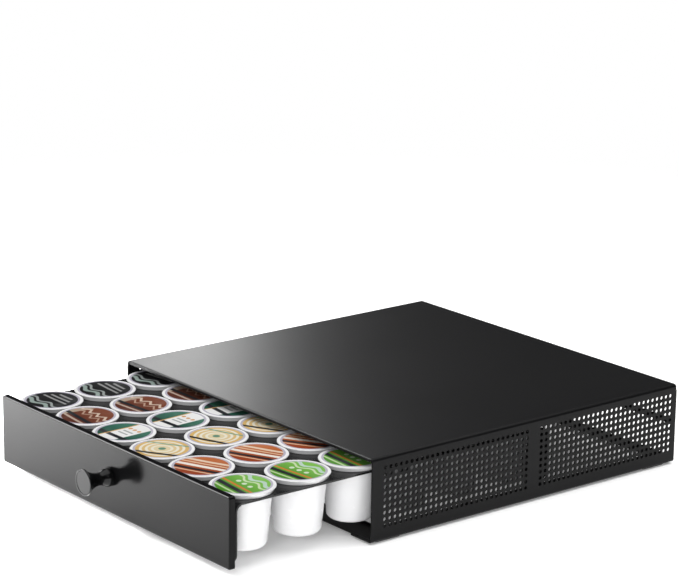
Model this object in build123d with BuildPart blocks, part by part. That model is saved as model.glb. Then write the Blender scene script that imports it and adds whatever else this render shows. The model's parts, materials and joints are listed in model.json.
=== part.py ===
"""Coffee pod drawer: a perforated sheet-steel housing with a sliding pod tray.

Millimetres, +Z up, X across the front, the drawer opens toward -Y.
The origin is the bottom centre of the whole object at rest, drawer part open.
"""
import os
from build123d import *

os.makedirs("parts", exist_ok=True)

# ---- housing -------------------------------------------------------------
W = 328.0            # width over the side walls
D = 328.0            # depth, front edge to back edge
H = 68.0             # height of the folded shell
T = 1.2              # shell sheet thickness
R = 2.6              # outer bend radius
FLANGE = 25.0        # bottom flange, turned in from each side wall
LIP = 2.8            # height of the roof's turned-down lip, front and back
PAD_H = 1.6          # anti-slip pad under the flanges
PAD_L, PAD_W = 26.0, 16.0

# ---- perforation, the same in both side walls ------------------------------
HOLE_D = 3.2
PITCH = 5.22
COLS, ROWS = 29, 10      # holes in each of the two fields of a wall
FIELD_GAP = 3            # pitches between the two fields
PERF_Y = 13.2            # first column, from the front edge
PERF_Z = 59.0            # top row, from the shell's bottom

# ---- drawer ----------------------------------------------------------------
OPEN = 129.0         # how far the drawer stands out at rest
PANEL_W, PANEL_H = 313.0, 57.2
PANEL_Z = 5.6        # panel's bottom edge above the shell's bottom
PANEL_T = 1.2
RETURN = 5.0         # depth of the panel's turned-back edges
SPACER = 1.6
TRAY_W = 310.0
TRAY_T = 1.5
DECK_Z = 55.4        # deck's top face above the shell's bottom
TRAY_BEND = 6.5      # outer bend radius, front and back
TRAY_BACK = 189.5    # back face of the tray at rest, from the housing's front edge
FLANGE_Z = 9.0       # lower edge of the tray's two flanges

# ---- pods --------------------------------------------------------------------
POD_PITCH = 52.0
POD_Y = -97.5        # first row at rest, from the housing's front edge
POD_N = 6
POD_HOLE = 45.6
RIM_D, RIM_T = 51.0, 0.6
RIM_TOP = 59.2       # above the shell's bottom
POD_BOTTOM = 11.8

# ---- knob --------------------------------------------------------------------
KNOB_L = 25.0
KNOB_D = 21.2
KNOB_Z = 35.8

# ---- derived -------------------------------------------------------------------
Y0 = -(D - OPEN - KNOB_L) / 2          # housing's front edge
Z0 = PAD_H                             # shell's bottom
YP = Y0 - OPEN                         # drawer panel's front face at rest
YT = YP + RETURN + SPACER              # tray's front face
YB = Y0 + TRAY_BACK                    # tray's back face
POD_ROWS = [Y0 + POD_Y + POD_PITCH * i for i in range(POD_N)]
POD_COLS = [POD_PITCH * (i - (POD_N - 1) / 2) for i in range(POD_N)]
# the two back rows of the three left columns stand empty
FREE = {(4, 0), (4, 1), (4, 2), (5, 0), (5, 1), (5, 2)}
SIDES = (("left", -1), ("right", 1))


def xz(y):
    """Sketch plane across the object at depth y; it extrudes backward by a negative amount."""
    return Plane.XZ.offset(-y)


def save(builder, name):
    builder.part.label = name
    export_step(builder.part, f"parts/{name}.step")


# ============================ housing ============================
# outline and holes of a side wall, centred on the wall's middle
wall_outline = Rectangle(D, 55.0).wire()
hole_wires = [
    Wire(Edge.make_circle(HOLE_D / 2, Plane((
        PERF_Y - D / 2 + PITCH * (first + i), PERF_Z - 35.5 - PITCH * j, 0))))
    for first in (0, COLS + FIELD_GAP - 1)
    for i in range(COLS)
    for j in range(ROWS)
]

with BuildPart() as housing_shell:
    # folded section: roof, two upright corners, two bottom flanges
    with BuildSketch(xz(Y0)):
        with Locations((0, Z0 + H / 2)):
            RectangleRounded(W, H, R)
            RectangleRounded(W - 2 * T, H - 2 * T, R - T, mode=Mode.SUBTRACT)
        with Locations((0, Z0)):
            Rectangle(W - 2 * FLANGE, 4 * T, mode=Mode.SUBTRACT)
        with Locations((0, Z0 + 35.5)):
            Rectangle(W + 2, 55.0, mode=Mode.SUBTRACT)
    extrude(amount=-D)
    # turned-down lips of the roof
    for y, sign in ((Y0, -1), (Y0 + D - T, -1)):
        with BuildSketch(xz(y)):
            with Locations((0, Z0 + H - LIP / 2)):
                Rectangle(W - 2 * R - 2, LIP)
        extrude(amount=sign * T)
    roof_edges = (
        housing_shell.edges()
        .filter_by(Axis.X)
        .group_by(Axis.Z)[-1]
        .filter_by(lambda e: e.length > W / 2)
    )
    fillet(roof_edges, 1.0)
    # the two perforated walls
    for x in (-W / 2, W / 2 - T):
        with BuildSketch(Plane((x, Y0 + D / 2, Z0 + 35.5), x_dir=(0, 1, 0), z_dir=(1, 0, 0))) as wall:
            add(Face(wall_outline, hole_wires))
        extrude(amount=T, clean=False)
save(housing_shell, "housing_shell")

# cross strips that tie the two bottom flanges together
with BuildPart() as front_cross_strip:
    with BuildSketch(Plane.XY.offset(Z0 + T)):
        with Locations((0, Y0 + 0.4 + 11)):
            Rectangle(W - 2 * T - 3.0, 22.0)
    extrude(amount=T)
    with BuildSketch(Plane.XY.offset(Z0 + 2 * T)):
        with Locations((0, Y0 + 0.4 + 22 - T / 2)):
            Rectangle(W - 2 * T - 3.0, T)
    extrude(amount=1.6)
save(front_cross_strip, "front_cross_strip")

with BuildPart() as rear_cross_strip:
    with BuildSketch(Plane.XY.offset(Z0 + T)):
        with Locations((0, Y0 + D - 4.6)):
            Rectangle(W - 2 * T - 3.0, 8.0)
    extrude(amount=T)
    with BuildSketch(Plane.XY.offset(Z0 + 2 * T)):
        with Locations((0, Y0 + D - 0.6 - T / 2)):
            Rectangle(W - 2 * T - 3.0, T)
    extrude(amount=3.0)
save(rear_cross_strip, "rear_cross_strip")

# round bar across the open back: the tray closes against it
ROD_D = 5.0
ROD_Y = Y0 + TRAY_BACK + OPEN + 0.5 + ROD_D / 2
with BuildPart() as rear_stop_rod:
    with BuildSketch(Plane.YZ.offset(-(W / 2 - T))):
        with Locations((ROD_Y, Z0 + 37.5)):
            Circle(ROD_D / 2)
    extrude(amount=W - 2 * T)
save(rear_stop_rod, "rear_stop_rod")

# nylon guides on the side walls: a groove carries the deck's edge
GUIDE_Y, GUIDE_L = 18.0, 26.0
for name, s in SIDES:
    wall = W / 2 - T
    with BuildPart() as deck_guide:
        with BuildSketch(xz(Y0 + GUIDE_Y)):
            with Locations(((153.2 + wall) / 2 * s, Z0 + 52.2)):
                Rectangle(wall - 153.2, 2.8)
            with Locations(((155.6 + wall) / 2 * s, Z0 + 54.2)):
                Rectangle(wall - 155.6, 6.6)
            with Locations(((154.1 + wall) / 2 * s, Z0 + 56.6)):
                Rectangle(wall - 154.1, 1.8)
        extrude(amount=-GUIDE_L)
        # pegs that clip into the wall's perforation
        with BuildSketch(Plane.YZ.offset(s * wall)):
            for col in (2, 5):
                with Locations((Y0 + PERF_Y + PITCH * col, Z0 + PERF_Z - PITCH)):
                    Circle(HOLE_D / 2 - 0.05)
        extrude(amount=s * T * 0.9)
        upright = deck_guide.edges().filter_by(Axis.Z).group_by(Axis.Y)
        ends = ShapeList(
            e for g in (upright[0], upright[-1]) for e in g if abs(e.center().X) < 156
        )
        chamfer(ends, 0.7)
    save(deck_guide, f"deck_guide_{name}")

# stop tabs spot-welded to the flanges: the tray's glides meet them when fully open
STOP_Y = 112.0
with BuildPart() as drawer_stops:
    for s in (-1, 1):
        with BuildSketch(Plane.YZ.offset(s * 148.0)):
            with BuildLine():
                Polyline(
                    (Y0 + STOP_Y, Z0 + T + 6.0),
                    (Y0 + STOP_Y, Z0 + T),
                    (Y0 + STOP_Y - 12.0, Z0 + T),
                    (Y0 + STOP_Y - 12.0, Z0 + 2 * T),
                    (Y0 + STOP_Y - T, Z0 + 2 * T),
                    (Y0 + STOP_Y - T, Z0 + T + 6.0),
                    close=True,
                )
            make_face()
        extrude(amount=6.0, both=True)
save(drawer_stops, "drawer_stops")

# thin anti-slip pads stuck under the flanges
with BuildPart() as base_pads:
    with BuildSketch(Plane.XY):
        with Locations((0, Y0 + D / 2)):
            with GridLocations(W - PAD_W - 2 * R - 2, D - PAD_L - 14, 2, 2):
                RectangleRounded(PAD_W, PAD_L, 3.0)
    extrude(amount=PAD_H)
    chamfer(base_pads.faces().sort_by(Axis.Z)[:4].edges(), 0.4)
save(base_pads, "base_pads")

# ============================ drawer ============================
with BuildPart() as pod_tray:
    # folded section seen from the side: front flange, deck, rear flange
    with BuildSketch(Plane.YZ.offset(-TRAY_W / 2)):
        with Locations(((YT + YB) / 2, Z0 + DECK_Z - 40)):
            RectangleRounded(YB - YT, 80.0, TRAY_BEND)
            RectangleRounded(YB - YT - 2 * TRAY_T, 80.0 - 2 * TRAY_T, TRAY_BEND - TRAY_T, mode=Mode.SUBTRACT)
        with Locations(((YT + YB) / 2, Z0 + FLANGE_Z - 30)):
            Rectangle(YB - YT + 2, 60.0, mode=Mode.SUBTRACT)
    extrude(amount=TRAY_W)
    # pod holes
    with BuildSketch(Plane.XY.offset(Z0 + DECK_Z + 1)):
        with Locations((0, sum(POD_ROWS) / POD_N)):
            with GridLocations(POD_PITCH, POD_PITCH, POD_N, POD_N):
                Circle(POD_HOLE / 2)
    extrude(amount=-9.0, mode=Mode.SUBTRACT)
    # knob screw, four rivets at the front, four at the glides
    with BuildSketch(xz(YT - 1)):
        with Locations((0, Z0 + KNOB_Z)):
            Circle(5.5)
        with Locations((0, Z0 + 29.0)):
            with GridLocations(252.0, 34.0, 2, 2):
                Circle(1.65)
    extrude(amount=-4.0, mode=Mode.SUBTRACT)
    with BuildSketch(xz(YB + 1)):
        with Locations((0, Z0 + 16.0)):
            with GridLocations(294.0, 1.0, 2, 1):
                Circle(1.65)
    extrude(amount=4.0, mode=Mode.SUBTRACT)
    corners = pod_tray.edges().filter_by(Axis.Y).group_by(Axis.Z)[0]
    fillet(corners, 7.0)
save(pod_tray, "pod_tray")

# drawer front: a shallow pan, its edges turned back and four tabs turned in
with BuildPart() as drawer_front:
    zc = Z0 + PANEL_Z + PANEL_H / 2
    with BuildSketch(xz(YP)):
        with Locations((0, zc)):
            RectangleRounded(PANEL_W, PANEL_H, 2.0)
    extrude(amount=-RETURN)
    face_edges = drawer_front.faces().sort_by(Axis.Y)[0].edges()
    fillet(face_edges, 1.3)
    with BuildSketch(xz(YP + PANEL_T)):
        with Locations((0, zc)):
            RectangleRounded(PANEL_W - 2 * PANEL_T, PANEL_H - 2 * PANEL_T, 0.8)
    extrude(amount=-RETURN, mode=Mode.SUBTRACT)
    with BuildSketch(xz(YP + RETURN - PANEL_T)):
        for zs in (-1, 1):
            for xs in (-1, 1):
                with Locations((xs * 126.0, zc + zs * (PANEL_H / 2 - 10.3))):
                    Rectangle(16.0, 19.2)
    extrude(amount=-PANEL_T)
    with BuildSketch(xz(YP - 1)):
        with Locations((0, Z0 + KNOB_Z)):
            Circle(2.2)
    extrude(amount=-4.0, mode=Mode.SUBTRACT)
    with BuildSketch(xz(YP + 2)):
        with Locations((0, Z0 + 29.0)):
            with GridLocations(252.0, 34.0, 2, 2):
                Circle(1.65)
    extrude(amount=-6.0, mode=Mode.SUBTRACT)
save(drawer_front, "drawer_front")

RIVET_X, RIVET_Z = 126.0, (12.0, 46.0)
with BuildPart() as front_spacers:
    with BuildSketch(xz(YP + RETURN)):
        with Locations((0, Z0 + 29.0)):
            with GridLocations(2 * RIVET_X, RIVET_Z[1] - RIVET_Z[0], 2, 2):
                Circle(5.0)
                Circle(1.65, mode=Mode.SUBTRACT)
    extrude(amount=-SPACER)
save(front_spacers, "front_spacers")

# rivets that hold the tray to the drawer front
with BuildPart() as front_rivets:
    for x in (-RIVET_X, RIVET_X):
        for z in RIVET_Z:
            with BuildSketch(Plane(origin=(x, 0, Z0 + z), x_dir=(1, 0, 0), z_dir=(0, 0, 1))):
                with BuildLine():
                    a, b = YP + RETURN - PANEL_T, YT + TRAY_T
                    Polyline(
                        (0, a - 1.0), (2.4, a - 1.0), (2.4, a), (1.6, a), (1.6, b),
                        (3.0, b), (3.0, b + 0.5), (1.9, b + 1.3), (0, b + 1.3), close=True,
                    )
                make_face()
            revolve(axis=Axis((x, 0, Z0 + z), (0, 1, 0)))
save(front_rivets, "front_rivets")

# turned knob: thin front disc, waisted neck, flared foot
with BuildPart() as drawer_knob:
    with BuildSketch(Plane(origin=(0, 0, Z0 + KNOB_Z), x_dir=(1, 0, 0), z_dir=(0, 0, 1))):
        with BuildLine():
            r = KNOB_D / 2
            f = YP - KNOB_L
            # dished face inside a narrow raised edge
            l0 = Line((0, f + 0.35), (r - 1.5, f + 0.35))
            l0b = Line((r - 1.5, f + 0.35), (r - 1.25, f))
            l1 = Line((r - 1.25, f), (r - 0.6, f))
            l2 = ThreePointArc((r - 0.6, f), (r - 0.17, f + 0.17), (r, f + 0.6))
            l3 = Line((r, f + 0.6), (r, f + 1.5))
            l4 = ThreePointArc((r, f + 1.5), (r - 0.35, f + 2.1), (r - 1.1, f + 2.4))
            l5 = Spline(
                (r - 1.1, f + 2.4), (7.6, f + 5.2), (6.1, f + 9.0), (5.35, f + 13.0), (5.7, f + 16.5),
                (6.75, f + 19.2), (7.75, f + 22.4), tangents=((-0.75, 1), (0.08, 1)),
            )
            l6 = ThreePointArc((7.75, f + 22.4), (7.7, f + 23.9), (7.3, YP))
            l7 = Line((7.3, YP), (2.1, YP))
            l8 = Line((2.1, YP), (2.1, YP - 12.0))
            l9 = Line((2.1, YP - 12.0), (0, YP - 12.0))
            l10 = Line((0, YP - 12.0), (0, f + 0.35))
        make_face()
    revolve(axis=Axis((0, 0, Z0 + KNOB_Z), (0, 1, 0)))
save(drawer_knob, "drawer_knob")

with BuildPart() as knob_washer:
    with BuildSketch(xz(YP + PANEL_T)):
        with Locations((0, Z0 + KNOB_Z)):
            Circle(4.8)
            Circle(2.2, mode=Mode.SUBTRACT)
    extrude(amount=-0.8)
save(knob_washer, "knob_washer")

# pan-head screw: head behind the washer, shank in the knob
with BuildPart() as knob_screw:
    with BuildSketch(Plane(origin=(0, 0, Z0 + KNOB_Z), x_dir=(1, 0, 0), z_dir=(0, 0, 1))):
        with BuildLine():
            h = YP + PANEL_T + 0.8
            Polyline(
                (0, YP - 10.5), (1.6, YP - 10.5), (2.0, YP - 10.0), (2.0, h), (4.0, h), (4.0, h + 1.4),
                (3.2, h + 2.3), (0, h + 2.3), close=True,
            )
        make_face()
    revolve(axis=Axis((0, 0, Z0 + KNOB_Z), (0, 1, 0)))
    with BuildSketch(xz(h + 2.3)):
        with Locations((0, Z0 + KNOB_Z)):
            Rectangle(4.4, 0.9)
            Rectangle(0.9, 4.4)
    extrude(amount=1.3, mode=Mode.SUBTRACT)
save(knob_screw, "knob_screw")

# nylon glides on the rear flange: they run on the housing's bottom flanges
GLIDE_W, GLIDE_D = 13.0, 9.0
for name, s in SIDES:
    with BuildPart() as rear_glide:
        with BuildSketch(xz(YB - TRAY_T)):
            with Locations((s * 147.0, Z0 + (T + 0.3 + 21.0) / 2)):
                Rectangle(GLIDE_W, 21.0 - T - 0.3)
        extrude(amount=GLIDE_D)
        chamfer(rear_glide.edges().filter_by(Axis.X).group_by(Axis.Z)[0], 1.2)
        with BuildSketch(xz(YB - TRAY_T - GLIDE_D)):
            with Locations((s * 147.0, Z0 + 16.0)):
                Circle(3.2)
        extrude(amount=-5.0, mode=Mode.SUBTRACT)
        with BuildSketch(xz(YB)):
            with Locations((s * 147.0, Z0 + 16.0)):
                Circle(1.65)
        extrude(amount=GLIDE_D + 4, mode=Mode.SUBTRACT)
    save(rear_glide, f"rear_glide_{name}")

with BuildPart() as glide_rivets:
    for s in (-1, 1):
        x = s * 147.0
        with BuildSketch(Plane(origin=(x, 0, Z0 + 16.0), x_dir=(1, 0, 0), z_dir=(0, 0, 1))):
            with BuildLine():
                a, b = YB - TRAY_T - GLIDE_D + 5.0, YB
                Polyline(
                    (0, a - 1.0), (2.6, a - 1.0), (2.6, a), (1.6, a), (1.6, b),
                    (2.6, b), (2.6, b + 0.25), (1.8, b + 0.4), (0, b + 0.4), close=True,
                )
            make_face()
        revolve(axis=Axis((x, 0, Z0 + 16.0), (0, 1, 0)))
save(glide_rivets, "glide_rivets")

# ============================ pods, column by column ============================
# one thin cup: rim, shoulder that stands on the deck, tapered body, rounded foot
rim = Z0 + RIM_TOP
deck = Z0 + DECK_Z
foot = Z0 + POD_BOTTOM
with BuildPart(mode=Mode.PRIVATE) as one_cup:
    with BuildSketch(Plane.XZ):
        with BuildLine():
            Polyline((22.4, rim), (RIM_D / 2 - 0.2, rim), (RIM_D / 2, rim - 0.2), (RIM_D / 2, rim - RIM_T + 0.2),
                     (RIM_D / 2 - 0.2, rim - RIM_T), (23.9, rim - RIM_T), (23.9, deck), (22.5, deck),
                     (18.85, foot + 5.0))
            ThreePointArc((18.85, foot + 5.0), (17.5, foot + 1.5), (14.5, foot))
            Polyline((14.5, foot), (0, foot), (0, foot + 1.0), (14.3, foot + 1.0))
            ThreePointArc((14.3, foot + 1.0), (16.65, foot + 2.2), (17.8, foot + 5.2))
            Polyline((17.8, foot + 5.2), (21.4, deck + 0.8), (22.4, deck + 1.4), (22.4, rim))
        make_face()
    revolve(axis=Axis.Z)

for col, x in enumerate(POD_COLS):
    with BuildPart() as pod_cups:
        for row, y in enumerate(POD_ROWS):
            if (row, col) not in FREE:
                with Locations((x, y, 0)):
                    add(one_cup.part)
    save(pod_cups, f"pod_cups_{col + 1}")

    # sealed lid on each cup's rim
    with BuildPart() as pod_lids:
        for row, y in enumerate(POD_ROWS):
            if (row, col) not in FREE:
                with BuildSketch(Plane.XY.offset(rim)):
                    with Locations((x, y)):
                        Circle(RIM_D / 2 - 0.35)
                extrude(amount=0.25)
    save(pod_lids, f"pod_lids_{col + 1}")
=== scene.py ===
import json
import math

import bpy
from mathutils import Matrix, Vector

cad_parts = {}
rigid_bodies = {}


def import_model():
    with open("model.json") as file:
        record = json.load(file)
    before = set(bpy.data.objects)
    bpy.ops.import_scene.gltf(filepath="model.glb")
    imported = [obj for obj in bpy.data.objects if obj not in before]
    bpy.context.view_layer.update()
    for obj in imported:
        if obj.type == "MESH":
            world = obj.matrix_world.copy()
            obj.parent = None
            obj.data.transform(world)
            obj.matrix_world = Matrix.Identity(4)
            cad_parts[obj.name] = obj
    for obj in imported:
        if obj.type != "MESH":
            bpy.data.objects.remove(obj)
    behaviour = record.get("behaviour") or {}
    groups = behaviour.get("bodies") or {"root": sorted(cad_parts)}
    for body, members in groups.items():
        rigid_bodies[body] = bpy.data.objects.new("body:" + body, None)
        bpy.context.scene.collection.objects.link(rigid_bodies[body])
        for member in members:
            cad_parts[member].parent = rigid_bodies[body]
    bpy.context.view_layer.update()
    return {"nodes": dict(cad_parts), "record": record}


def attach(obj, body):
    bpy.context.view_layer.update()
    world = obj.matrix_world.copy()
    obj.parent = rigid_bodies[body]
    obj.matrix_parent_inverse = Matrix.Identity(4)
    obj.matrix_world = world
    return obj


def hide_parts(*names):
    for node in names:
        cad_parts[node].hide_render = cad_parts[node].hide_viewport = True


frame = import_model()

scene = bpy.context.scene
nodes = frame["nodes"]

# ------------------------------------------------------------------ sizes, metres
MM = 0.001
Y0 = -0.087            # housing's front edge
Z0 = 0.0016            # shell's bottom
PITCH = 0.052
COLS = [(i - 2.5) * PITCH for i in range(6)]
ROW1 = Y0 - 0.0975
FREE = {(4, 0), (4, 1), (4, 2), (5, 0), (5, 1), (5, 2)}
RIM = Z0 + 0.0592
DECK = Z0 + 0.0554
FOOT = Z0 + 0.0118


# ------------------------------------------------------------------ camera
def make_camera():
    az, el, roll = math.radians(51.02), math.radians(15.11), math.radians(0.76)
    d = Vector((-math.sin(az) * math.cos(el), math.cos(az) * math.cos(el), -math.sin(el)))
    r = d.cross(Vector((0, 0, 1))).normalized()
    u = r.cross(d)
    r2 = math.cos(roll) * r + math.sin(roll) * u
    u2 = -math.sin(roll) * r + math.cos(roll) * u
    data = bpy.data.cameras.new("camera")
    data.sensor_fit = "HORIZONTAL"
    data.sensor_width = 36.0
    data.lens = 2677.55 / 679 * 36.0
    data.clip_start, data.clip_end = 0.1, 60.0
    cam = bpy.data.objects.new("camera", data)
    scene.collection.objects.link(cam)
    m = Matrix((r2, u2, -d)).transposed().to_4x4()
    m.translation = Vector((1.64322, Y0 - 1.23149, Z0 + 0.71841))
    cam.matrix_world = m
    scene.camera = cam


make_camera()


# ------------------------------------------------------------------ node helpers
class Graph:
    """Small helper that builds shader maths in one material."""

    def __init__(self, name):
        self.mat = bpy.data.materials.new(name)
        self.mat.use_nodes = True
        self.tree = self.mat.node_tree
        self.n = self.tree.nodes
        self.n.clear()
        self.out = self.n.new("ShaderNodeOutputMaterial")
        self.bsdf = self.n.new("ShaderNodeBsdfPrincipled")
        self.link(self.bsdf.outputs[0], self.out.inputs[0])

    def link(self, a, b):
        self.tree.links.new(a, b)

    def put(self, value, socket):
        if hasattr(value, "links"):
            self.link(value, socket)
        else:
            socket.default_value = value

    def math(self, op, a, b=None, c=None):
        k = self.n.new("ShaderNodeMath")
        k.operation = op
        for v, s in zip((a, b, c), k.inputs):
            if v is not None:
                self.put(v, s)
        return k.outputs[0]

    def add(self, a, b):
        return self.math("ADD", a, b)

    def sub(self, a, b):
        return self.math("SUBTRACT", a, b)

    def mul(self, a, b):
        return self.math("MULTIPLY", a, b)

    def step(self, x, lo, hi):
        """0 below lo, 1 above hi, smooth between."""
        k = self.n.new("ShaderNodeMapRange")
        k.interpolation_type = "SMOOTHSTEP"
        self.put(x, k.inputs[0])
        k.inputs[1].default_value, k.inputs[2].default_value = lo, hi
        return k.outputs[0]

    def remap(self, x, a, b, c, d):
        k = self.n.new("ShaderNodeMapRange")
        self.put(x, k.inputs[0])
        for i, v in enumerate((a, b, c, d)):
            k.inputs[i + 1].default_value = v
        return k.outputs[0]

    def mix(self, f, a, b):
        k = self.n.new("ShaderNodeMix")
        k.data_type = "RGBA"
        self.put(f, k.inputs[0])
        for v, s in ((a, k.inputs[6]), (b, k.inputs[7])):
            if hasattr(v, "links"):
                self.link(v, s)
            else:
                s.default_value = (*v, 1.0)
        return k.outputs[2]

    def coords(self):
        return self.n.new("ShaderNodeTexCoord").outputs["Object"]

    def split(self, v):
        k = self.n.new("ShaderNodeSeparateXYZ")
        self.link(v, k.inputs[0])
        return k.outputs

    def noise(self, vec, scale, detail=2.0, rough=0.5):
        k = self.n.new("ShaderNodeTexNoise")
        self.link(vec, k.inputs["Vector"])
        k.inputs["Scale"].default_value = scale
        k.inputs["Detail"].default_value = detail
        k.inputs["Roughness"].default_value = rough
        return k.outputs[0]

    def bump(self, height, strength, distance, under=None):
        k = self.n.new("ShaderNodeBump")
        k.inputs["Strength"].default_value = strength
        k.inputs["Distance"].default_value = distance
        self.link(height, k.inputs["Height"])
        if under is not None:
            self.link(under, k.inputs["Normal"])
        return k.outputs[0]

    def set(self, **values):
        for name, v in values.items():
            self.put(v, self.bsdf.inputs[name.replace("_", " ")])


# ------------------------------------------------------------------ materials
def powder_coat(name, base, rough, level, peel=0.10):
    """Baked powder coat: orange-peel skin, fine pigment speckle, faint handling haze."""
    g = Graph(name)
    p = g.coords()
    haze = g.noise(p, 9.0, 3.0, 0.55)
    fine = g.noise(p, 520.0, 2.0, 0.5)
    speck = g.noise(p, 2600.0, 1.0, 0.5)
    tone = g.mix(g.remap(speck, 0.35, 0.7, 0.0, 1.0), [c * 0.85 for c in base], [c * 1.2 for c in base])
    g.put(tone, g.bsdf.inputs["Base Color"])
    r = g.add(g.remap(haze, 0.3, 0.7, rough - 0.012, rough + 0.016), g.remap(fine, 0.3, 0.7, -0.01, 0.01))
    g.put(r, g.bsdf.inputs["Roughness"])
    g.bsdf.inputs["Specular IOR Level"].default_value = level
    n = g.bump(fine, peel, 0.00012)
    n = g.bump(speck, peel * 0.6, 0.00003, n)
    g.put(n, g.bsdf.inputs["Normal"])
    return g.mat


def nylon(name):
    g = Graph(name)
    p = g.coords()
    n = g.noise(p, 900.0, 3.0, 0.6)
    g.put(g.mix(n, (0.018, 0.018, 0.018), (0.030, 0.030, 0.031)), g.bsdf.inputs["Base Color"])
    g.put(g.remap(n, 0.3, 0.7, 0.5, 0.62), g.bsdf.inputs["Roughness"])
    g.put(g.bump(n, 0.15, 0.0001), g.bsdf.inputs["Normal"])
    return g.mat


def rubber(name):
    g = Graph(name)
    p = g.coords()
    n = g.noise(p, 1400.0, 4.0, 0.7)
    g.put(g.mix(n, (0.02, 0.02, 0.02), (0.04, 0.04, 0.04)), g.bsdf.inputs["Base Color"])
    g.bsdf.inputs["Roughness"].default_value = 0.85
    g.put(g.bump(n, 0.3, 0.0002), g.bsdf.inputs["Normal"])
    return g.mat


def zinc(name):
    g = Graph(name)
    p = g.coords()
    n = g.noise(p, 600.0, 4.0, 0.6)
    g.put(g.mix(n, (0.42, 0.42, 0.43), (0.62, 0.62, 0.64)), g.bsdf.inputs["Base Color"])
    g.bsdf.inputs["Metallic"].default_value = 1.0
    g.put(g.remap(n, 0.3, 0.7, 0.28, 0.42), g.bsdf.inputs["Roughness"])
    return g.mat


def cup_plastic(name):
    """Injection-moulded white polymer: glossy, slightly soft, faint flow marks."""
    g = Graph(name)
    p = g.coords()
    flow = g.noise(p, 60.0, 3.0, 0.6)
    g.put(g.mix(flow, (0.80, 0.80, 0.81), (0.88, 0.88, 0.885)), g.bsdf.inputs["Base Color"])
    g.put(g.remap(flow, 0.3, 0.7, 0.20, 0.28), g.bsdf.inputs["Roughness"])
    g.bsdf.inputs["Subsurface Weight"].default_value = 0.08
    g.bsdf.inputs["Subsurface Radius"].default_value = (0.004, 0.004, 0.004)
    g.bsdf.inputs["Subsurface Scale"].default_value = 1.0
    g.put(g.bump(flow, 0.04, 0.0003), g.bsdf.inputs["Normal"])
    return g.mat


COATS = {
    "black_powder_coat": powder_coat("housing_coat", (0.0035, 0.0035, 0.0038), 0.33, 0.13, 0.05),
    "tray_powder_coat": powder_coat("tray_coat", (0.0075, 0.0075, 0.008), 0.20, 0.36, 0.02),
    "front_powder_coat": powder_coat("front_coat", (0.0022, 0.0022, 0.0024), 0.15, 0.13, 0.010),
    "knob_black": powder_coat("knob_coat", (0.0022, 0.0022, 0.0024), 0.14, 0.25, 0.008),
    "black_nylon": nylon("guide_nylon"),
    "pad_rubber": rubber("pad_rubber"),
    "zinc_steel": zinc("zinc_steel"),
    "cup_white": cup_plastic("cup_white"),
}

slot_of = {s["node"]: s["material_slot"] for s in frame["record"]["subparts"]}


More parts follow.
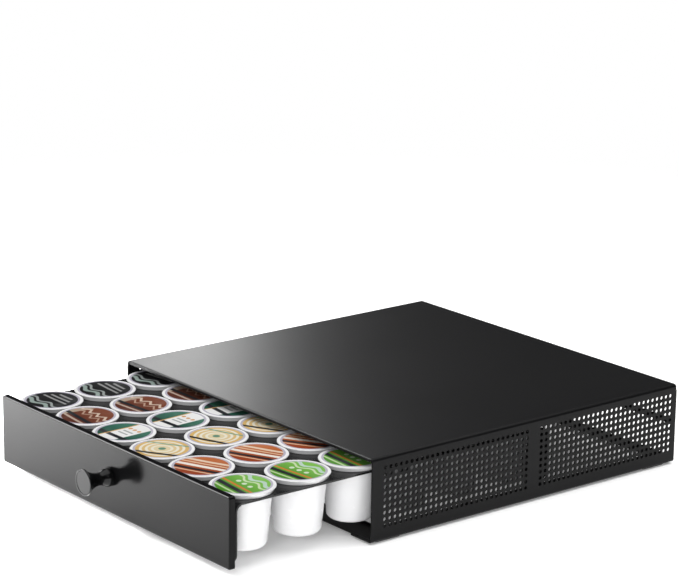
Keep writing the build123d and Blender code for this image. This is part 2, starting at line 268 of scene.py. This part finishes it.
# ------------------------------------------------------------------ lid prints
def lid_print(col):
    """Printed foil: white border, a grey ring of painted shade for the pressed groove, and a plain pattern of
    stripes, dots and waves.
    One lid's own millimetre coordinates repeat along the column."""
    g = Graph(f"lid_print_{col + 1}")
    x, y, _ = g.split(g.coords())
    u0 = g.mul(g.sub(x, COLS[col]), 1000.0)
    yy = g.mul(g.sub(y, ROW1), 1000.0)
    v0 = g.math("WRAP", yy, 26.0, -26.0)
    row = g.math("ROUND", g.mul(yy, 1 / 52.0))
    turn = g.mul(g.math("SINE", g.add(g.mul(row, 2.3), col * 1.7)), 0.10)
    c, s = g.math("COSINE", turn), g.math("SINE", turn)
    u = g.sub(g.mul(u0, c), g.mul(v0, s))
    v = g.add(g.mul(u0, s), g.mul(v0, c))
    r = g.math("SQRT", g.add(g.mul(u, u), g.mul(v, v)))
    p = g.coords()
    grain = g.noise(p, 700.0, 2.0)
    soft = g.noise(p, 55.0, 3.0, 0.6)

    def disc(cu, cv, rad, blur=0.25):
        du, dv = g.sub(u, cu), g.sub(v, cv)
        q = g.math("SQRT", g.add(g.mul(du, du), g.mul(dv, dv)))
        return g.sub(1.0, g.step(q, rad - blur, rad + blur))

    def ring(cu, cv, a, b):
        return g.mul(disc(cu, cv, b), g.sub(1.0, disc(cu, cv, a)))

    def bar(cu, cv, w, h):
        """Rounded plain stripe."""
        a = g.sub(1.0, g.step(g.math("ABSOLUTE", g.sub(u, cu)), w / 2 - 0.2, w / 2 + 0.2))
        b = g.sub(1.0, g.step(g.math("ABSOLUTE", g.sub(v, cv)), h / 2 - 0.2, h / 2 + 0.2))
        return g.mul(a, b)

    def dots(cu, cv, w, pitch, rad):
        """A straight row of round dots."""
        k = g.math("WRAP", g.sub(u, cu), pitch / 2, -pitch / 2)
        q = g.math("SQRT", g.add(g.mul(k, k), g.mul(g.sub(v, cv), g.sub(v, cv))))
        inside = g.sub(1.0, g.step(g.math("ABSOLUTE", g.sub(u, cu)), w / 2, w / 2 + 0.1))
        return g.mul(g.sub(1.0, g.step(q, rad - 0.2, rad + 0.2)), inside)

    def above(fn, blur=0.4):
        """1 where v is over a curve of u."""
        return g.step(g.sub(v, fn), -blur, blur)

    def band(fn, lo, hi, blur=0.3):
        """1 where v lies between lo and hi over a curve of u."""
        return g.mul(above(g.add(fn, lo), blur), g.sub(1.0, above(g.add(fn, hi), blur)))

    def paint(base, mask, colour, strength=1.0):
        return g.mix(mask if strength == 1.0 else g.mul(mask, strength), base, colour)

    flat = g.mul(u, 0.0)
    tilt = g.mul(u, 0.5)
    wave = g.mul(g.math("SINE", g.mul(u, 0.30)), 2.2)
    peak = g.mul(g.math("PINGPONG", g.add(u, 42.0), 6.0), 0.9)
    white = (0.74, 0.74, 0.73)
    slate = (0.016, 0.018, 0.022)

    if col == 0:
        # black, with pale sage waves low down and grey stripes above
        base = g.mix(g.step(v, -16.0, 18.0), (0.010, 0.010, 0.011), (0.024, 0.025, 0.026))
        base = paint(base, band(wave, -15.0, -11.0), (0.28, 0.35, 0.32), 0.9)
        base = paint(base, band(wave, -8.6, -6.2), (0.30, 0.33, 0.32), 0.9)
        for w, h in ((18.0, 13.4), (27.0, 8.0), (33.0, 2.6)):
            base = paint(base, bar(0.0, h, w, 2.2), (0.27, 0.27, 0.27))
    elif col == 1:
        # brown, with cream zigzags and a tan cap at the left
        base = g.mix(g.step(v, -18.0, 18.0), (0.100, 0.026, 0.014), (0.185, 0.056, 0.029))
        base = paint(base, g.sub(1.0, g.step(u, -14.5, -13.5)), (0.36, 0.29, 0.22))
        base = paint(base, band(peak, 3.6, 6.4), (0.56, 0.43, 0.34))
        base = paint(base, band(peak, -2.4, -0.4), (0.42, 0.27, 0.20))
        base = paint(base, band(flat, -10.0, -6.0), slate)
        base = paint(base, band(flat, -14.6, -12.2), (0.42, 0.32, 0.26))
    elif col == 2:
        # white and deep green in three upright fields, with large orange dots and grey stripes
        green = g.mix(g.step(v, -18.0, 18.0), (0.012, 0.072, 0.046), (0.046, 0.160, 0.112))
        base = g.mix(g.step(u, -7.6, -7.0), green, white)
        base = paint(base, g.step(u, 11.0, 11.6), green)
        base = paint(base, dots(2.0, 9.0, 15.0, 5.6, 1.9), (0.58, 0.30, 0.12))
        base = paint(base, bar(2.0, 2.4, 12.0, 2.0), (0.32, 0.34, 0.33))
        base = paint(base, bar(2.0, -2.6, 12.0, 2.0), (0.32, 0.34, 0.33))
        base = paint(base, band(flat, -13.6, -9.0), slate)
        base = paint(base, bar(-7.3, 0.0, 1.4, 44.0), (0.58, 0.33, 0.12))
    elif col == 3:
        # cream and gold hoops round a green spot
        base = g.mix(g.step(r, 3.0, 19.0), (0.660, 0.560, 0.350), (0.600, 0.390, 0.130))
        for q in (18.0, 13.4, 8.8):
            base = paint(base, ring(0.0, 0.0, q - 2.2, q), (0.72, 0.68, 0.56))
        base = paint(base, disc(0.0, 0.0, 3.0), (0.110, 0.240, 0.165))
        base = paint(base, band(tilt, -15.6, -11.6), slate)
        base = paint(base, band(tilt, 11.8, 14.0), (0.150, 0.300, 0.210))
    elif col == 4:
        # orange, with broad cream slanting stripes and a dark slanting belt
        base = g.mix(g.step(g.sub(v, u), -20.0, 22.0), (0.290, 0.048, 0.012), (0.440, 0.120, 0.030))
        base = paint(base, band(tilt, 10.0, 14.0), (0.68, 0.52, 0.38))
        base = paint(base, band(tilt, 4.6, 7.0), (0.64, 0.42, 0.27))
        base = paint(base, band(tilt, -3.4, 1.4), (0.74, 0.69, 0.62))
        base = paint(base, band(tilt, -11.6, -7.2), slate)
        base = paint(base, band(tilt, -15.4, -13.4), (0.66, 0.44, 0.28))
    else:
        # green, with lighter ripples, large dots, an orange line and a dark belt
        base = g.mix(g.step(v, -18.0, 20.0), (0.070, 0.250, 0.020), (0.190, 0.450, 0.075))
        base = paint(base, band(wave, 11.4, 15.0), (0.44, 0.58, 0.48))
        base = paint(base, band(wave, 6.8, 9.0), (0.52, 0.64, 0.38))
        base = paint(base, dots(0.0, 1.6, 22.0, 8.0, 2.1), (0.58, 0.68, 0.50))
        base = paint(base, band(flat, -6.0, -3.8), (0.54, 0.17, 0.03))
        base = paint(base, band(flat, -12.6, -8.2), slate)
        base = paint(base, band(flat, -16.6, -14.6), (0.44, 0.58, 0.30))
    # painted shade: a cool grey ring stands in for the shaded inner wall of the pressed ring, between the print and
    # the white border
    base = g.mix(g.step(r, 20.9, 21.2), base, (0.44, 0.42, 0.49))
    base = g.mix(g.step(r, 22.5, 23.3), base, (0.80, 0.80, 0.805))
    # ink density varies a little with the foil under it
    base = g.mix(g.mul(g.step(soft, 0.45, 0.75), 0.05), base, (0.75, 0.75, 0.75))
    g.put(base, g.bsdf.inputs["Base Color"])
    g.put(g.remap(soft, 0.3, 0.7, 0.36, 0.50), g.bsdf.inputs["Roughness"])
    g.bsdf.inputs["Specular IOR Level"].default_value = 0.12
    g.put(g.bump(soft, 0.10, 0.0006, g.bump(grain, 0.05, 0.0001)), g.bsdf.inputs["Normal"])
    return g.mat


# ------------------------------------------------------------------ turned meshes
def lathe(name, profiles, centres, segments, materials, wobble=None, axis="Z"):
    """One object: the (radius, height, material index) profile turned about each centre."""
    verts, faces, mats = [], [], []
    for ci, (cx, cy, cz) in enumerate(centres):
        base = len(verts)
        rings = []
        for r, h, m in profiles:
            if r < 1e-7:
                rings.append([len(verts)])
                verts.append((cx, cy, cz + h) if axis == "Z" else (cx, cy + h, cz))
                continue
            ring = []
            for k in range(segments):
                a = 2 * math.pi * k / segments
                dz = wobble(ci, r, a) if wobble else 0.0
                ring.append(len(verts))
                if axis == "Z":
                    verts.append((cx + r * math.cos(a), cy + r * math.sin(a), cz + h + dz))
                else:
                    verts.append((cx + r * math.cos(a), cy + h + dz, cz + r * math.sin(a)))
            rings.append(ring)
        for i in range(len(rings) - 1):
            a, b = rings[i], rings[i + 1]
            m = profiles[i][2]
            for k in range(segments):
                k2 = (k + 1) % segments
                if len(a) == 1 and len(b) == 1:
                    continue
                if len(a) == 1:
                    f = (a[0], b[k], b[k2])
                elif len(b) == 1:
                    f = (a[k], b[0], a[k2])
                else:
                    f = (a[k], b[k], b[k2], a[k2])
                faces.append(f if axis == "Z" else tuple(reversed(f)))
                mats.append(m)
    mesh = bpy.data.meshes.new(name)
    mesh.from_pydata(verts, [], faces)
    for m in materials:
        mesh.materials.append(m)
    mesh.polygons.foreach_set("material_index", mats)
    mesh.polygons.foreach_set("use_smooth", [True] * len(faces))
    mesh.update()
    obj = bpy.data.objects.new(name, mesh)
    scene.collection.objects.link(obj)
    return obj


def arc(cx, cz, rad, a0, a1, n, m=0):
    out = []
    for i in range(n + 1):
        t = math.radians(a0 + (a1 - a0) * i / n)
        out.append((cx + rad * math.cos(t), cz + rad * math.sin(t), m))
    return out


def cup_profile():
    """From the foot's centre up the outside, over the rim and down inside."""
    f, d, t = FOOT, DECK, RIM
    p = [(0, f + 0.0006, 0), (0.0090, f + 0.0006, 0), (0.0096, f + 0.0004, 0), (0.0102, f, 0)]
    r0, r1 = 0.01885, 0.0224
    p += arc(r0 - 0.0044, f + 0.0044, 0.0044, -90, -4, 9)
    # a fine moulding step a third of the way up, then the taper to the deck
    p += [(0.01912, f + 0.0090, 0), (0.01918, f + 0.0094, 0), (0.01932, f + 0.0098, 0),
          (0.0204, f + 0.0210, 0), (0.0215, f + 0.0325, 0), (r1, d - 0.0016, 0), (0.02245, d - 0.0002, 0)]
    p += [(0.0228, d + 0.00005, 0), (0.0237, d + 0.0001, 0), (0.0239, d + 0.0004, 0), (0.02405, t - 0.0012, 0),
          (0.0242, t - 0.00075, 0), (0.0245, t - 0.00062, 0), (0.0251, t - 0.00060, 0)]
    p += arc(0.0255 - 0.00029, t - 0.00031, 0.00028, -80, 80, 6)
    p += [(0.0249, t - 0.00002, 0), (0.0226, t - 0.00002, 0), (0.0224, t - 0.0006, 0), (0.0222, t - 0.0030, 0)]
    return p


def lid_profile():
    """Centre out: sagging foil, pressed ring, flat heat-sealed border, thin turned edge."""
    t = RIM + 0.00004
    rows = [(0.0, t + 0.00000, 0)]
    for r in (2, 4, 6, 8, 10, 12, 14, 16, 18, 19.8, 21.0):
        rows.append((r * MM, t + 0.00012 * (r / 21.0) ** 2, 0))
    rows += [(0.0215, t + 0.00022, 0), (0.0218, t + 0.00034, 0), (0.0222, t + 0.00034, 0), (0.0225, t + 0.00022, 0),
             (0.0229, t + 0.00014, 0), (0.0240, t + 0.00012, 0), (0.0248, t + 0.00012, 0), (0.0251, t + 0.00008, 0), (0.02515, t + 0.00001, 0)]
    return rows


def dent(ci, r, a):
    """Each lid's foil lies a little differently."""
    if r > 0.0198:
        return 0.0
    k = ci * 1.9 + 0.7
    w = (1 - (r / 0.0198) ** 2) * (r / 0.0198)
    return 0.00012 * w * (math.sin(2 * a + k) + 0.5 * math.sin(3 * a - 2.1 * k))


for col, cx in enumerate(COLS):
    spots = [(cx, ROW1 + PITCH * row, 0.0) for row in range(6) if (row, col) not in FREE]
    cups = lathe(f"cups_{col + 1}", cup_profile(), spots, 72, [COATS["cup_white"]])
    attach(cups, "drawer")
    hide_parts(f"pod_cups_{col + 1}")
    lids = lathe(f"lids_{col + 1}", lid_profile(), spots, 72, [lid_print(col)], wobble=dent)
    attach(lids, "drawer")
    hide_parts(f"pod_lids_{col + 1}")

# ------------------------------------------------------------------ CAD nodes take their finish
for name, node in nodes.items():
    obj = node if isinstance(node, bpy.types.Object) else bpy.data.objects[name]
    mat = COATS.get(slot_of.get(name))
    if mat is None:
        continue
    for s in obj.material_slots:
        s.material = mat
    if not obj.material_slots:
        obj.data.materials.append(mat)

# ------------------------------------------------------------------ floor and light
floor_mesh = bpy.data.meshes.new("floor")
S = 1.6
floor_mesh.from_pydata([(-S, -S, 0), (S, -S, 0), (S, S, 0), (-S, S, 0)], [], [(0, 1, 2, 3)])
floor = bpy.data.objects.new("floor", floor_mesh)
scene.collection.objects.link(floor)
g = Graph("floor_white")
g.bsdf.inputs["Base Color"].default_value = (0.88, 0.88, 0.88, 1)
g.bsdf.inputs["Roughness"].default_value = 0.9
g.bsdf.inputs["Specular IOR Level"].default_value = 0.1
# lit from below as well, as a white acrylic table is, so shadows stay light
g.bsdf.inputs["Emission Color"].default_value = (1, 1, 1, 1)
g.bsdf.inputs["Emission Strength"].default_value = 0.17
# the sweep fades into the white behind it
fx, fy, _ = g.split(g.coords())
far = g.math("SQRT", g.add(g.mul(fx, fx), g.mul(fy, fy)))
g.put(g.sub(1.0, g.step(far, 0.75, 1.25)), g.bsdf.inputs["Alpha"])
floor_mesh.materials.append(g.mat)

world = bpy.data.worlds.new("studio")
scene.world = world
world.use_nodes = True
wt = world.node_tree
wt.nodes.clear()
w_out = wt.nodes.new("ShaderNodeOutputWorld")
w_mix = wt.nodes.new("ShaderNodeMixShader")
w_path = wt.nodes.new("ShaderNodeLightPath")
w_seen = wt.nodes.new("ShaderNodeBackground")
w_seen.inputs[0].default_value = (1, 1, 1, 1)
w_seen.inputs[1].default_value = 1.0
w_fill = wt.nodes.new("ShaderNodeBackground")      # what matt surfaces gather
w_fill.inputs[0].default_value = (1, 1, 1, 1)
w_fill.inputs[1].default_value = 0.36
w_dim = wt.nodes.new("ShaderNodeBackground")       # what gloss sees between the panels
w_dim.inputs[0].default_value = (1, 1, 1, 1)
w_dim.inputs[1].default_value = 0.05
w_soft = wt.nodes.new("ShaderNodeMixShader")
wt.links.new(w_path.outputs["Is Diffuse Ray"], w_soft.inputs[0])
wt.links.new(w_dim.outputs[0], w_soft.inputs[1])
wt.links.new(w_fill.outputs[0], w_soft.inputs[2])
wt.links.new(w_path.outputs["Is Camera Ray"], w_mix.inputs[0])
wt.links.new(w_soft.outputs[0], w_mix.inputs[1])
wt.links.new(w_seen.outputs[0], w_mix.inputs[2])
wt.links.new(w_mix.outputs[0], w_out.inputs[0])


def softbox(name, place, target, width, height, radiance):
    data = bpy.data.lights.new(name, "AREA")
    data.shape = "RECTANGLE"
    data.size, data.size_y = width, height
    data.energy = radiance * math.pi * width * height
    obj = bpy.data.objects.new(name, data)
    scene.collection.objects.link(obj)
    obj.location = place
    obj.rotation_euler = (Vector(target) - Vector(place)).to_track_quat("-Z", "Y").to_euler()
    obj.visible_camera = False
    return obj


# overhead panel for the white sweep, a tall strip behind on the left that fades over the roof,
# a key on the left for the rounded edges, a pool of light on the table that the drawer front mirrors,
# and a panel on the right for the cups
softbox("overhead", (0.1, 0.3, 2.1), (0.1, 0.3, 0.0), 2.8, 3.2, 1.75)
back_strip = softbox("back_strip", (-1.94, 1.21, 0.72), (-0.15, -0.07, 0.07), 0.23, 1.2, 6.2)
key_left = softbox("key_left", (-1.75, -0.85, 1.05), (-0.05, -0.15, 0.04), 1.1, 0.7, 1.6)
edge_wall = softbox("edge_wall", (-1.22, -1.0, 0.67), (0.0, -0.2, 0.06), 1.0, 1.05, 17.0)
pool = softbox("table_pool", (-0.58, -0.54, 0.34), (-0.35, -0.32, 0.0), 0.30, 0.30, 22.5)
pool.data.spread = math.radians(76)
softbox("front_right", (1.5, -1.7, 0.8), (0.0, -0.1, 0.03), 1.4, 1.0, 3.6)

# the pool falls on the table alone, and the strip behind is flagged off everything but the housing
table = bpy.data.collections.new("table_only")
table.objects.link(floor)
pool.light_linking.receiver_collection = table
flag = bpy.data.collections.new("housing_only")
for name in frame["record"]["behaviour"]["bodies"]["housing"]:
    flag.objects.link(nodes[name])
back_strip.light_linking.receiver_collection = flag
# the tall wall on the left is kept for the rounded edges of the black parts
black = bpy.data.collections.new("black_parts")
for name in frame["record"]["behaviour"]["bodies"]["housing"] + ["drawer_front", "drawer_knob"]:
    black.objects.link(nodes[name])
edge_wall.light_linking.receiver_collection = black
# the key passes the white cups by, which the bright table lights already
no_key = bpy.data.collections.new("all_but_cups")
for col in range(6):
    no_key.objects.link(bpy.data.objects[f"cups_{col + 1}"])
for item in no_key.collection_objects:
    item.light_linking.link_state = "EXCLUDE"
key_left.light_linking.receiver_collection = no_key

scene.view_settings.view_transform = "Standard"
scene.view_settings.look = "None"
scene.view_settings.exposure = 0.0
scene.view_settings.gamma = 1.0
